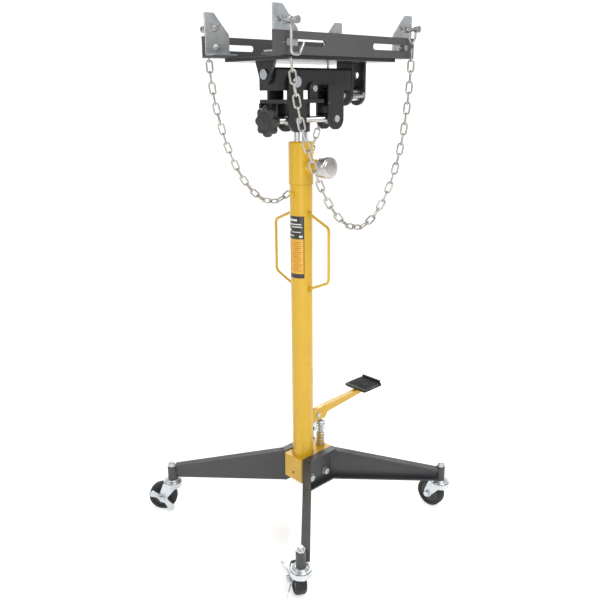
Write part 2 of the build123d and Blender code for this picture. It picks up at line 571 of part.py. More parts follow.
def wing_nut(x, y0, y1, z):
    nut = rod_y(6.5, x, y0, y1, z)
    for side in (-1, 1):
        wing = plate_xz([(x + side * 3, z - 2), (x + side * 5, z + 5), (x + side * 13, z + 12),
                         (x + side * 14, z + 6), (x + side * 8, z - 3)], y0 + 1, y0 + 3.5)
        nut += wing
    return nut


def clamp_bolt():
    """The bolt that clamps a bracket through the rail's slot: square neck outside, nut inside."""
    x = SADDLE_X + BRACKET_OUT - CLAMP_IN
    y0 = -RAIL_Y + RAIL_T + GAP + BRACKET_T
    bolt = rod_y(4.5, x, -RAIL_Y - GAP, y0, SLOT_Z)
    bolt += hex_y(13, x, -RAIL_Y - GAP - 5, -RAIL_Y - GAP, SLOT_Z)
    return bolt + hex_y(13, x, y0, y0 + 6, SLOT_Z) + rod_y(4.0, x, y0 + 5, y0 + 10, SLOT_Z)


def chain_bolt(wing_outside):
    """The cross bolt high on a bracket, with its round head, wing nut and spacer."""
    x = SADDLE_X + BRACKET_OUT - CHAIN_BOLT_IN
    inner = -RAIL_Y + RAIL_T + GAP + BRACKET_T
    outer = inner - BRACKET_T
    bolt = rod_y(4.0, x, outer - 38, inner + 10, CHAIN_BOLT_Z)
    bolt += rod_y(7.5, x, outer - 42, outer - 37, CHAIN_BOLT_Z)
    if wing_outside:
        bolt += wing_nut(x, outer - 9, outer, CHAIN_BOLT_Z)
        return bolt + hex_y(13, x, inner, inner + 6, CHAIN_BOLT_Z)
    bolt += wing_nut(x, inner, inner + 9, CHAIN_BOLT_Z)
    return bolt + hex_y(13, x, outer - 6, outer, CHAIN_BOLT_Z)


def shackle():
    """The bent wire eye that hangs on the chain bolt and keeps the chain's fixed end."""
    x = SADDLE_X + BRACKET_OUT - CHAIN_BOLT_IN
    y0 = -RAIL_Y + RAIL_T + GAP
    a, b = y0 - 14, y0 - 33
    points = [(x, a, CHAIN_BOLT_Z), (x, a - 1, 1200), (x, (a + b) / 2, 1186), (x, b + 1, 1200),
              (x, b, CHAIN_BOLT_Z)]
    wire = bent_rod(WIRE_R, points, 5.0)
    for y in (a, b):
        wire += rod_y(6.8, x, y - 2.4, y + 2.4, CHAIN_BOLT_Z)
    return wire - rod_y(4.0, x, -180, -90, CHAIN_BOLT_Z)


def grab_hook():
    """The long open hook that hangs on the chain bolt and takes the chain's free end."""
    x = SADDLE_X + BRACKET_OUT - CHAIN_BOLT_IN
    y = -RAIL_Y + RAIL_T + GAP - 22
    points = [(x, y, CHAIN_BOLT_Z), (x, y, 1158), (x - 22, y, 1158), (x - 34, y, 1180)]
    wire = bent_rod(WIRE_R + 0.4, points, 8.0)
    eye = rod_y(7.0, x, y - 3.6, y + 3.6, CHAIN_BOLT_Z)
    return (wire + eye) - rod_y(4.0, x, -180, -90, CHAIN_BOLT_Z)


def chain(points):
    """A hanging chain's outer shape: one tube along straight runs and large arcs."""
    vectors = [Vector(*p) for p in points]
    bends = []
    for a, b, c in zip(vectors, vectors[1:], vectors[2:]):
        half_turn = radians((b - a).get_angle(c - b)) / 2
        bends.append(0.45 * min((b - a).length, (c - b).length) / tan(half_turn))
    path = FilletPolyline(*points, radius=bends)
    print("chain bends", [round(r) for r in bends], "length", round(path.length))
    return sweep(Plane(path.position_at(0), z_dir=path.tangent_at(0)) * Circle(CHAIN_R), path)


# The routes of the two chains, from the left end to the right.
CHAIN_FRONT = [
    (-150, -131, 1150), (-145, -131, 1118), (-138, -132, 1080), (-129, -132, 1040), (-116, -132, 998),
    (-100, -133, 955), (-82, -133, 915), (-59, -133, 872), (-28, -134, 829), (10, -134, 796),
    (54, -134, 782), (96, -134, 794), (132, -135, 826), (162, -135, 868), (184, -135, 915),
    (200, -136, 965), (211, -136, 1015), (219, -136, 1065), (224, -136, 1112), (226, -136, 1150),
    (226.5, -136, 1176),
]
CHAIN_BACK = [
    (-152, 136, 1176), (-152, 136, 1150), (-149, 136, 1112), (-142, 136, 1070), (-131, 135, 1025),
    (-117, 135, 980), (-99, 135, 938), (-76, 135, 897), (-46, 134, 858), (-10, 134, 829),
    (30, 134, 817), (70, 134, 826), (106, 133, 852), (136, 133, 888), (160, 133, 928),
    (180, 132, 972), (196, 132, 1017), (208, 132, 1062), (216, 131, 1105), (224, 131, 1150),
]


def mirrored(solid, flip_x, flip_y):
    """The same piece at another corner of the saddle."""
    if flip_x:
        solid = mirror(solid, Plane((SADDLE_X, 0, 0), z_dir=(1, 0, 0)))
    return mirror(solid, Plane.XZ) if flip_y else solid


def saddle():
    x0, x1 = SADDLE_X - DECK_HALF_X, SADDLE_X + DECK_HALF_X
    deck = box(x0, x1, -DECK_HALF_Y, DECK_HALF_Y, DECK_Z0, DECK_Z1)
    save("saddle_deck", fillet(deck.edges().filter_by(Axis.Z), 4.0))
    save("saddle_lugs", *saddle_lugs())
    save("saddle_rails", rail(), mirror(rail(), Plane.XZ))
    for name in ("front_left", "front_right", "back_left", "back_right"):
        flip_x, flip_y = name.endswith("left"), name.startswith("back")
        save(f"bracket_{name}", mirrored(bracket(), flip_x, flip_y))
        hanger = grab_hook() if name in ("front_left", "back_right") else shackle()
        hardware = [clamp_bolt(), chain_bolt(not flip_y), hanger]
        save(f"bracket_hardware_{name}", *[mirrored(s, flip_x, flip_y) for s in hardware])
    save("chain_front", chain(CHAIN_FRONT))
    save("chain_back", chain(CHAIN_BACK))


base()
casters()
column()
foot_pump()
head()
saddle()
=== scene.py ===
import json
from math import ceil, cos, pi, radians, sin

import bmesh
import bpy
from mathutils import Matrix, Vector


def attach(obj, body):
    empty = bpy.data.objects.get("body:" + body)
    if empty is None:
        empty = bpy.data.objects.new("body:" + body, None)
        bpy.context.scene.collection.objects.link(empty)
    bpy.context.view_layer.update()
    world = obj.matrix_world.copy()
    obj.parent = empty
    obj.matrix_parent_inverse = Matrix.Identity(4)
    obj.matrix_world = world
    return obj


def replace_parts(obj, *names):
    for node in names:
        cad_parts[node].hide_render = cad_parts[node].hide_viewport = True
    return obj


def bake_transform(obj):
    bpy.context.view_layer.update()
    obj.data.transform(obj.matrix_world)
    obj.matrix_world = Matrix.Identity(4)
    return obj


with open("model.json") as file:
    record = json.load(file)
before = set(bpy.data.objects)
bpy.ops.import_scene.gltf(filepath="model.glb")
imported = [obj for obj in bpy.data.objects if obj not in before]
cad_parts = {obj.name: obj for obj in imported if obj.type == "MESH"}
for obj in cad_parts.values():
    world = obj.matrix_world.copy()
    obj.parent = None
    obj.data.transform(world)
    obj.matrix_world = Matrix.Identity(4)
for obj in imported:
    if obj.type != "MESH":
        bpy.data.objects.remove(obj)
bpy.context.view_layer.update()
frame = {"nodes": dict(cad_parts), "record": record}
nodes = frame["nodes"]
body_of = {node: body for body, group in frame["record"]["behaviour"]["bodies"].items() for node in group}

# The column's axis from the row's origin. Shapes are drawn about it in millimetres.
SHIFT = Matrix.Translation((-0.010, -0.012, 0)) @ Matrix.Scale(0.001, 4)

# Each caster's stem, and the heading of its wheel from the stem in degrees.
CASTERS = {
    "left": (-248, 252, 137),
    "front": (-248, -252, 60),
    "right": (268, -252, 90),
    "back": (268, 252, 45),
}
WHEEL_R, TRAIL, RELEASE_Z = 37.5, 27, 921


# ---------------------------------------------------------------- materials
class Nodes:
    """A material's node tree, with short calls to add and join nodes."""

    def __init__(self, name):
        self.material = bpy.data.materials.new(name)
        self.material.use_nodes = True
        self.tree = self.material.node_tree
        self.shader = self.tree.nodes["Principled BSDF"]
        self.place = self.add("ShaderNodeTexCoord").outputs["Object"]

    def add(self, kind, **values):
        node = self.tree.nodes.new(kind)
        for key, value in values.items():
            setattr(node, key, value)
        return node

    def join(self, source, target):
        self.tree.links.new(source, target)

    def scaled(self, stretch):
        mapping = self.add("ShaderNodeMapping")
        mapping.inputs["Scale"].default_value = stretch
        self.join(self.place, mapping.inputs["Vector"])
        return mapping.outputs["Vector"]

    def noise(self, scale, detail=3.0, rough=0.55, stretch=None):
        node = self.add("ShaderNodeTexNoise")
        node.inputs["Scale"].default_value = scale
        node.inputs["Detail"].default_value = detail
        node.inputs["Roughness"].default_value = rough
        self.join(self.scaled(stretch) if stretch else self.place, node.inputs["Vector"])
        return node.outputs["Fac"]

    def ramp(self, source, *stops):
        node = self.add("ShaderNodeValToRGB")
        while len(node.color_ramp.elements) < len(stops):
            node.color_ramp.elements.new(0.5)
        for element, (at, colour) in zip(node.color_ramp.elements, stops):
            element.position = at
            element.color = (*colour, 1)
        self.join(source, node.inputs["Fac"])
        return node.outputs["Color"]

    def span(self, source, low, high, start=0.3, end=0.7):
        node = self.add("ShaderNodeMapRange")
        for key, value in zip(("From Min", "From Max", "To Min", "To Max"), (start, end, low, high)):
            node.inputs[key].default_value = value
        self.join(source, node.inputs["Value"])
        return node.outputs["Result"]

    def mix(self, factor, a, b):
        node = self.add("ShaderNodeMix", data_type="RGBA")
        self.join(factor, node.inputs["Factor"])
        for value, socket in ((a, node.inputs["A"]), (b, node.inputs["B"])):
            if isinstance(value, tuple):
                socket.default_value = (*value, 1)
            else:
                self.join(value, socket)
        return node.outputs["Result"]

    def bump(self, source, depth, strength=0.5, under=None):
        node = self.add("ShaderNodeBump")
        node.inputs["Strength"].default_value = strength
        node.inputs["Distance"].default_value = depth
        self.join(source, node.inputs["Height"])
        if under:
            self.join(under, node.inputs["Normal"])
        return node.outputs["Normal"]


def times(colour, factor):
    return tuple(min(1.0, c * factor) for c in colour)


def paint(name, colour, rough=0.3, coat=0.5, wear=0.0, bare=(0.35, 0.35, 0.36)):
    """Sprayed enamel: orange peel, faint clouding and dust, and small chips where it wears."""
    n = Nodes(name)
    cloud = n.noise(9, 4)
    speck = n.noise(420, 2)
    tone = n.ramp(cloud, (0.3, times(colour, 0.93)), (0.55, colour), (0.8, times(colour, 1.05)))
    tone = n.mix(n.span(speck, 0, 0.12, 0.55, 0.75), tone, times(colour, 0.55))
    chips = n.noise(95, 6, 0.7)
    mask = n.span(chips, 0, 1, 0.705 - wear, 0.73 - wear)
    tone = n.mix(mask, tone, bare)
    n.join(tone, n.shader.inputs["Base Color"])
    n.join(n.span(n.noise(34, 5), rough * 0.75, rough * 1.35), n.shader.inputs["Roughness"])
    peel = n.bump(n.noise(760, 2), 0.00012, 0.35)
    n.join(n.bump(mask, -0.00015, 0.4, peel), n.shader.inputs["Normal"])
    n.shader.inputs["Coat Weight"].default_value = coat
    n.shader.inputs["Coat Roughness"].default_value = 0.12
    return n.material


def metal(name, colour, rough=0.3, grain=(1, 1, 1), tint=(0.7, 0.62, 0.45), spot=0.12):
    """Plated or turned steel: drawn grain, faint rainbow clouding and darker spots scattered at random."""
    n = Nodes(name)
    cloud = n.noise(26, 5)
    line = n.noise(320, 3, 0.6, grain)
    tone = n.ramp(cloud, (0.3, times(colour, 0.8)), (0.5, colour), (0.75, times(colour, 1.12)))
    tone = n.mix(n.span(n.noise(12, 3), 0, 0.22, 0.5, 0.75), tone, tint)
    tone = n.mix(n.span(n.noise(150, 5, 0.7), 0, spot * 3, 0.62, 0.75), tone, times(colour, 0.45))
    n.join(tone, n.shader.inputs["Base Color"])
    n.join(n.span(line, rough * 0.65, rough * 1.5), n.shader.inputs["Roughness"])
    n.join(n.bump(line, 0.00006, 0.35), n.shader.inputs["Normal"])
    n.shader.inputs["Metallic"].default_value = 1
    return n.material


def moulded(name, colour, rough=0.45, scale=900, depth=0.0002, coat=0.0):
    """Moulded plastic or rubber: a fine leathery grain, dusty in patches."""
    n = Nodes(name)
    tone = n.ramp(n.noise(18, 5), (0.3, times(colour, 0.75)), (0.6, colour), (0.85, times(colour, 1.9)))
    n.join(tone, n.shader.inputs["Base Color"])
    n.join(n.span(n.noise(45, 4), rough * 0.8, min(1, rough * 1.3)), n.shader.inputs["Roughness"])
    grain = n.bump(n.noise(scale, 3), depth, 0.5)
    n.join(n.bump(n.noise(120, 4), depth, 0.25, grain), n.shader.inputs["Normal"])
    n.shader.inputs["Coat Weight"].default_value = coat
    return n.material


YELLOW = (0.62, 0.37, 0.009)
DARK = (0.040, 0.041, 0.044)
BLACK = (0.011, 0.011, 0.012)
RAIL = (0.070, 0.070, 0.072)
ZINC = (0.62, 0.66, 0.69)
# Each edge entry is a lighter copy of a material for the rounded edges: partly wear, partly a painted
# highlight.
look = {
    "yellow": paint("yellow_enamel", YELLOW, 0.3, 0.3, 0.0, (0.45, 0.33, 0.12)),
    # lighter edge copy: partly wear, partly a painted highlight
    "yellow_edge": paint("yellow_enamel_edge", times(YELLOW, 1.12), 0.34, 0.3, 0.06, (0.4, 0.34, 0.2)),
    "dark": paint("grey_enamel", DARK, 0.42, 0.15, 0.0),
    # lighter edge copy: partly wear, partly a painted highlight
    "dark_edge": paint("grey_enamel_edge", times(DARK, 1.7), 0.45, 0.1, 0.05),
    "black": paint("black_enamel", BLACK, 0.28, 0.4, 0.0),
    # lighter edge copy: partly wear, partly a painted highlight
    "black_edge": paint("black_enamel_edge", times(BLACK, 2.6), 0.36, 0.2, 0.05),
    "rail": paint("rail_enamel", RAIL, 0.5, 0.05, 0.0),
    # lighter edge copy: partly wear, partly a painted highlight
    "rail_edge": paint("rail_enamel_edge", times(RAIL, 1.8), 0.5, 0.05, 0.06),
    "zinc": metal("zinc_plate", ZINC, 0.34, (1, 1, 6)),
    # lighter edge copy: partly wear, partly a painted highlight
    "zinc_edge": metal("zinc_plate_edge", times(ZINC, 1.15), 0.26),
    "chrome": metal("hard_chrome", (0.78, 0.79, 0.81), 0.1, (1, 1, 18), (0.75, 0.74, 0.7), 0.03),
    "turned": metal("turned_steel", (0.58, 0.57, 0.55), 0.27, (1, 14, 1)),
    "link": metal("chain_zinc", (0.47, 0.455, 0.42), 0.3, (3, 3, 3), (0.5, 0.42, 0.28), 0.25),
    "bolt": metal("bolt_steel", (0.5, 0.5, 0.5), 0.33),
    # lighter edge copy: partly wear, partly a painted highlight
    "bolt_edge": metal("bolt_steel_edge", (0.62, 0.62, 0.62), 0.26),
    "tyre": moulded("tyre_rubber", (0.012, 0.012, 0.013), 0.62, 700, 0.00035),
    "knob": moulded("knob_plastic", (0.016, 0.016, 0.017), 0.36, 1100, 0.0001, 0.1),
    "pad": moulded("pad_rubber", (0.014, 0.014, 0.014), 0.6, 800, 0.0003),
    # lighter edge copy: partly wear, partly a painted highlight
    "pad_edge": moulded("pad_rubber_edge", (0.03, 0.03, 0.03), 0.66, 800, 0.0003),
    "label_black": moulded("label_black", (0.016, 0.016, 0.017), 0.3, 600, 0.00003, 0.3),
    "label_panel": paint("label_panel", (0.70, 0.36, 0.014), 0.3, 0.3),
    "label_line": paint("label_line", (0.36, 0.14, 0.012), 0.35, 0.2),
    "label_ink": paint("label_ink", (0.66, 0.64, 0.60), 0.35, 0.1),
    "seam": paint("yellow_weld", times(YELLOW, 0.88), 0.36, 0.3, 0.02, (0.4, 0.32, 0.15)),
}


# ---------------------------------------------------------------- building pieces
def finish_piece(mesh, name, body, smooth=35.0):
    """Puts a finished mesh in the scene, riding on its body."""
    mesh.polygons.foreach_set("use_smooth", [True] * len(mesh.polygons))
    mesh.set_sharp_from_angle(angle=radians(smooth))
    piece = bpy.data.objects.new(name, mesh)
    bpy.context.scene.collection.objects.link(piece)
    if body:
        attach(piece, body)
    return piece


def piece_of(name, parts, body, materials, smooth=35.0):
    """One piece from several (points in mm, faces, material index) lists about the column's axis."""
    points, faces, indices = [], [], []
    for part_points, part_faces, index in parts:
        start = len(points)
        points += [tuple(p) for p in part_points]
        faces += [[start + i for i in face] for face in part_faces]
        indices += [index] * len(part_faces)
    mesh = bpy.data.meshes.new(name)
    mesh.from_pydata(points, [], faces)
    mesh.polygons.foreach_set("material_index", indices)
    for key in materials:
        mesh.materials.append(look[key])
    mesh.transform(SHIFT)
    bm = bmesh.new()
    bm.from_mesh(mesh)
    bmesh.ops.recalc_face_normals(bm, faces=bm.faces)
    bm.to_mesh(mesh)
    bm.free()
    return finish_piece(mesh, name, body, smooth)


def applied(piece):
    """The mesh of a piece with its modifiers applied."""
    bpy.context.view_layer.update()
    graph = bpy.context.evaluated_depsgraph_get()
    mesh = bpy.data.meshes.new_from_object(piece.evaluated_get(graph), depsgraph=graph)
    piece.modifiers.clear()
    piece.data = mesh
    return piece


def refined(node, key, width=0.7, segments=2):
    """A CAD node's shape with its edges rounded; the rounded edges take a lighter copy of its material,
    partly wear and partly a painted highlight. It stands for the node.
    """
    mesh = nodes[node].data.copy()
    bm = bmesh.new()
    bm.from_mesh(mesh)
    bmesh.ops.remove_doubles(bm, verts=bm.verts, dist=3e-6)
    bmesh.ops.dissolve_limit(bm, angle_limit=radians(0.6), verts=bm.verts, edges=bm.edges)
    bm.to_mesh(mesh)
    bm.free()
    mesh.materials.clear()
    mesh.materials.append(look[key])
    # second slot: the lighter edge copy, partly wear and partly a painted highlight
    mesh.materials.append(look[key + "_edge"])
    mesh.polygons.foreach_set("use_smooth", [True] * len(mesh.polygons))
    mesh.set_sharp_from_angle(angle=radians(32))
    piece = bpy.data.objects.new(node + "_finish", mesh)
    bpy.context.scene.collection.objects.link(piece)
    bevel = piece.modifiers.new("bevel", "BEVEL")
    bevel.width = width / 1000
    bevel.segments = segments
    bevel.limit_method = "ANGLE"
    bevel.angle_limit = radians(32)
    # The bevel's faces take the lighter edge material: partly wear, partly a painted highlight.
    bevel.material = 1
    piece.modifiers.new("normals", "WEIGHTED_NORMAL").keep_sharp = True
    applied(piece)
    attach(piece, body_of[node])
    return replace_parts(piece, node)


def lathe(profile, sides=48, closed=False):
    """Points and faces turned about Z from (radius, height) pairs."""
    points, faces = [], []
    for radius, z in profile:
        for i in range(sides):
            a = 2 * pi * i / sides
            points.append((radius * cos(a), radius * sin(a), z))
    rows = len(profile)
    for j in range(rows if closed else rows - 1):
        for i in range(sides):
            k = (i + 1) % sides
            a, b = j * sides, ((j + 1) % rows) * sides
            faces.append([a + i, a + k, b + k, b + i])
    if not closed:
        faces.append(list(range(sides - 1, -1, -1)))
        faces.append([(rows - 1) * sides + i for i in range(sides)])
    return points, faces


def tube(path, radius, sides=12, closed=False):
    """A round tube along points, with its ring kept from twisting."""
    path = [Vector(p) for p in path]
    count = len(path)
    points, faces = [], []
    side = None
    for i, p in enumerate(path):
        before = path[i - 1] if closed or i else p
        after = path[(i + 1) % count] if closed or i < count - 1 else p
        along = (after - before).normalized()
        if side is None:
            side = along.orthogonal().normalized()
        side = (side - along * side.dot(along)).normalized()
        up = along.cross(side)
        for k in range(sides):
            a = 2 * pi * k / sides
            points.append(p + side * (radius * cos(a)) + up * (radius * sin(a)))
    for i in range(count if closed else count - 1):
        for k in range(sides):
            m = (k + 1) % sides
            a, b = i * sides, ((i + 1) % count) * sides
            faces.append([a + k, a + m, b + m, b + k])
    if not closed:
        faces.append(list(range(sides - 1, -1, -1)))
        faces.append([(count - 1) * sides + k for k in range(sides)])
    return points, faces


def moved(part, matrix, index=0):
    points, faces = part
    return [matrix @ Vector(p) for p in points], faces, index


def along_x(x, y, z):
    return Matrix.Translation((x, y, z)) @ Matrix.Rotation(pi / 2, 4, "Y")


def along_y(x, y, z):
    return Matrix.Translation((x, y, z)) @ Matrix.Rotation(-pi / 2, 4, "X")


def thread(radius, pitch, start, end):
    """A threaded rod about Z: its crest winds round as it climbs."""
    depth, sides = pitch * 0.3, 28
    rows = int(ceil((end - start) / pitch * 6))
    points, faces = [], []
    for j in range(rows + 1):
        z = start + (end - start) * j / rows
        fade = min(1, (z - start) / 2, (end - z) / 2)
        for i in range(sides):
            phase = (z / pitch - i / sides) % 1
            r = radius - depth * fade * (1 - abs(2 * phase - 1)) - 0.5 * (1 - fade)
            a = 2 * pi * i / sides
            points.append((r * cos(a), r * sin(a), z))
    for j in range(rows):
        for i in range(sides):
            k = (i + 1) % sides
            faces.append([j * sides + i, j * sides + k, (j + 1) * sides + k, (j + 1) * sides + i])
    faces.append(list(range(sides - 1, -1, -1)))
    faces.append([rows * sides + i for i in range(sides)])
    return points, faces


def hex_nut(across, z0, z1):
    """A hexagon about Z with its corners turned off at both ends."""
    turned = 0.12
    corner = across / 2 / cos(pi / 6)
    sides = 48
    points, faces = [], []
    height = z1 - z0
    rows = [(0, 0.86), (turned, 1.0), (1 - turned, 1.0), (1, 0.86)]
    for share, limit in rows:
        for i in range(sides):
            a = 2 * pi * i / sides
            flat = across / 2 / cos((a + pi / 6) % (pi / 3) - pi / 6)
            r = min(flat, corner * (limit + 0.07)) if limit < 1 else flat
            points.append((r * cos(a), r * sin(a), z0 + share * height))
    for j in range(3):
        for i in range(sides):
            k = (i + 1) % sides
            faces.append([j * sides + i, j * sides + k, (j + 1) * sides + k, (j + 1) * sides + i])
    faces.append(list(range(sides - 1, -1, -1)))
    faces.append([3 * sides + i for i in range(sides)])
    return points, faces


def weld(radius, z, size, sides=120):
    """A ring of weld bead about Z, rippled like stacked coins."""
    ripple = 0.35
    ring = []
    for i in range(sides):
        a = 2 * pi * i / sides
        ring.append((radius * cos(a), radius * sin(a), z))
    points, faces = tube(ring, size, 8, True)
    rippled = []
    for i, p in enumerate(points):
        centre = Vector(ring[i // 8])
        swell = 1 + ripple * (0.5 * sin(i // 8 * 2 * pi / 3) + 0.5 * sin(i // 8 * 0.9))
        rippled.append(centre + (Vector(p) - centre) * (0.85 + 0.25 * swell))
    return rippled, faces


# ---------------------------------------------------------------- base and column
for name in ("leg_channel_front", "leg_channel_back"):
    refined(name, "dark", 1.2, 3)
refined("base_block", "yellow", 1.2)
refined("leg_bolts", "bolt", 0.6)
refined("column_cylinder", "yellow", 0.5)
refined("gland_sleeve", "yellow", 0.8)
refined("filler_screw", "yellow", 0.4)
refined("release_neck", "yellow", 0.8)
for name in ("handle_front", "handle_back"):
    refined(name, "yellow", 0.3)
for name in ("pump_bracket", "pump_cylinder", "pedal_arm"):
    refined(name, "yellow", 0.7)
for name in ("pedal_pivot_pin", "pedal_roller"):
    refined(name, "zinc", 0.5)
refined("pump_piston", "zinc", 0.6)
refined("pedal_pad", "pad", 0.8)
for name in ("pressure_cylinder", "ram_piston"):
    nodes[name].data.materials.clear()
    nodes[name].data.materials.append(look["turned"])
nodes["ram"].data.materials.clear()
nodes["ram"].data.materials.append(look["chrome"])

seams = [moved(weld(28.2, 171.8, 1.7), Matrix()), moved(weld(28.2, 879.4, 1.3), Matrix())]
piece_of("column_welds", seams, "chassis", ["seam"])
ends = []
for side in (-1, 1):
    for z, lean in ((812.2, 1), (623.8, -1)):
        spot = Matrix.Translation((0, side * 29.2, z)) @ Matrix.Rotation(pi / 2, 4, "X")
        ends.append(moved(weld(4.2, 0, 1.3, 36), spot))
piece_of("handle_welds", ends, "chassis", ["seam"])


def release_knob():
    """The turned release knob: a domed face, a fluted rim and a waisted neck."""
    sides = 96
    profile = [(5, 24), (5, 70.6), (14, 71), (22.5, 71.4), (24.6, 73), (25.4, 75.5), (25.4, 92),
               (24.4, 94.6), (22.2, 96.0), (20.2, 96.2), (19.4, 97.2), (15, 98.1), (6, 98.35), (1, 98.4)]
    points, faces = lathe(profile, sides)
    fluted = []
    for i, (x, y, z) in enumerate(points):
        flute = 1 - 0.018 * (0.5 + 0.5 * cos(24 * 2 * pi * (i % sides) / sides)) * (74 < z < 94)
        fluted.append((x * flute, y * flute, z))
    place = Matrix.Translation((0, 0, RELEASE_Z)) @ Matrix.Rotation(pi / 2, 4, "X")
    parts = [moved((fluted, faces), place)]
    piece = piece_of("release_knob_turned", parts, "release", ["turned"], 40)
    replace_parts(piece, "release_knob")


release_knob()


def label():
    """The wrap-round label on the column: generic bands, bars and blocks in place of its wording."""
    radius, half = 27.12, 60.7

    def patch(z0, z1, a0, a1, lift, index):
        steps = max(2, int(abs(a1 - a0) / 4))
        points, faces = [], []
        for i in range(steps + 1):
            a = radians(180 + a0 + (a1 - a0) * i / steps)
            for z in (z0, z1):
                points.append(((radius + lift) * cos(a), (radius + lift) * sin(a), z))
        for i in range(steps):
            faces.append([2 * i, 2 * i + 2, 2 * i + 3, 2 * i + 1])
        return points, faces, index

    black, panel, ink, line = range(4)
    parts = [patch(654, 805, -half, half, 0, black), patch(665, 750, -half + 4, half - 4, 0.05, panel)]
    for z in range(742, 668, -5):
        for a0, a1 in ((-50, -6 - z % 4 * 4), (2, 50 - z % 3 * 7)):
            parts.append(patch(z, z + 1.5, a0, a1, 0.1, line))
    blocks = [(793, -50, 24, 5), (784, -50, 46, 3), (778, -12, 50, 2.5), (768, -48, -14, 6),
              (766, -6, 44, 2), (757, -50, 6, 2.5), (754, 34, 52, 5)]
    for z, a0, a1, tall in blocks:
        parts.append(patch(z, z + tall, a0, a1, 0.05, ink))
    return piece_of("column_label", parts, "chassis",
                    ["label_black", "label_panel", "label_ink", "label_line"])


label()


def pump_spring():
    """The return spring with closed ends, drawn as one fixed coil."""
    pump_x, z0, z1, mean, wire, turns, dead = 65, 172.9, 235.3, 11.3, 1.5, 9.0, 0.9
    path, steps = [], 360
    for i in range(steps + 1):
        t = i / steps * turns
        rise = min(max((t - dead) / (turns - 2 * dead), 0), 1)
        z = z0 + (z1 - z0) * (0.04 * min(t, 1) + 0.92 * rise + 0.04 * max(0, t - turns + 1))
        path.append((pump_x + mean * cos(2 * pi * t), mean * sin(2 * pi * t), z))
    parts = [(*tube(path, wire, 10), 0)]
    piece = piece_of("pump_spring_coil", parts, None, ["zinc"])
    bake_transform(piece)
    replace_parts(piece, "pump_spring")


pump_spring()


# ---------------------------------------------------------------- casters
def swivel(name, place):
    """What shows of a stem: the raceway's stepped dome, the domed nut, the stem's tip and its foot."""
    dome = [(6.3, 79.9), (20.5, 79.9), (23.2, 80.3), (23.6, 81.4), (22.6, 82.7), (20.4, 83.0), (19.2, 84.4),
            (17.2, 84.9), (16.4, 86.4), (14.2, 87.6), (11.9, 87.9), (6.3, 87.9)]
    tip = [(6, 134.5), (6, 136.6), (5.2, 137.4), (0.6, 137.6)]
    foot = [(1, 73.6), (6.4, 73.7), (7.8, 74.4), (8, 76.0), (6, 76.1)]
    collar = [(8.6, 131.8), (8.3, 133.2), (7.2, 134.6), (6.1, 134.9)]
    parts = [moved(lathe(dome, 64), place), moved(lathe(tip, 32), place), moved(lathe(foot, 32), place)]
    parts += [moved(hex_nut(18.6, 125.1, 131.4), place), moved(lathe(collar, 40), place)]
    return piece_of(f"caster_swivel_{name}", parts, "chassis", ["zinc"], 40)


def wheel(name, place):
    """A rubber tyre on a dished plastic core with a ring of small bosses on each face."""
    turn = place @ Matrix.Translation((TRAIL, 0, WHEEL_R)) @ Matrix.Rotation(pi / 2, 4, "X")
    tread = [(26, -9.5), (27.5, -12.3), (30.5, -13), (34.2, -12.6), (36.4, -10.6), (37.3, -7), (WHEEL_R, 0)]
    tyre = tread + [(r, -z) for r, z in tread[-2::-1]] + [(26, 9.5)]
    hub = [(4.1, -14.2), (8.4, -14.2), (9.2, -13.4), (9.6, -9.2), (12, -8.2), (22, -8.6), (25, -9.6),
           (26.2, -9.8)]
    core = hub + [(r, -z) for r, z in hub[::-1]]
    boss = lathe([(2.6, -0.9), (3.1, 0), (2.6, 0.9)], 20)
    parts = [moved(lathe(tyre, 96, True), turn, 0), moved(lathe(core, 64, True), turn, 1)]
    for k in range(5):
        for side in (-1, 1):
            spot = Matrix.Rotation(2 * pi * k / 5, 4, "Z") @ Matrix.Translation((17.5, 0, side * 8.7))
            parts.append(moved(boss, turn @ spot, 1))
    disc = piece_of(f"caster_tyre_{name}", parts, f"wheel_{name}", ["tyre", "knob"], 40)
    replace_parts(disc, f"caster_wheel_{name}")


def caster(name, x, y, heading):
    place = Matrix.Translation((x, y, 0)) @ Matrix.Rotation(radians(heading), 4, "Z")
    refined(f"caster_fork_{name}", "zinc", 0.8)
    piece = swivel(name, place)
    wheel(name, place)
    return piece


swivels = [caster(name, *spot) for name, spot in CASTERS.items()]
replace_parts(swivels[0], "caster_stems", "stem_nuts")
for name in ("left", "front"):
    refined(f"brake_lever_{name}", "zinc", 0.9, 3)

# ---------------------------------------------------------------- head
for name in ("head_base", "tilt_beam", "hanging_arm", "roll_bracket", "saddle_lugs", "saddle_deck"):
    refined(name, "black", 0.9, 3)
for name in ("tilt_bolts", "roll_pins", "tilt_trunnion", "tilt_nut", "roll_nut"):
    refined(name, "zinc", 0.7)
refined("saddle_rails", "rail", 0.8, 3)
for name in ("front_left", "front_right", "back_left", "back_right"):
    refined(f"bracket_{name}", "zinc", 0.5)
    refined(f"bracket_hardware_{name}", "bolt", 0.35)


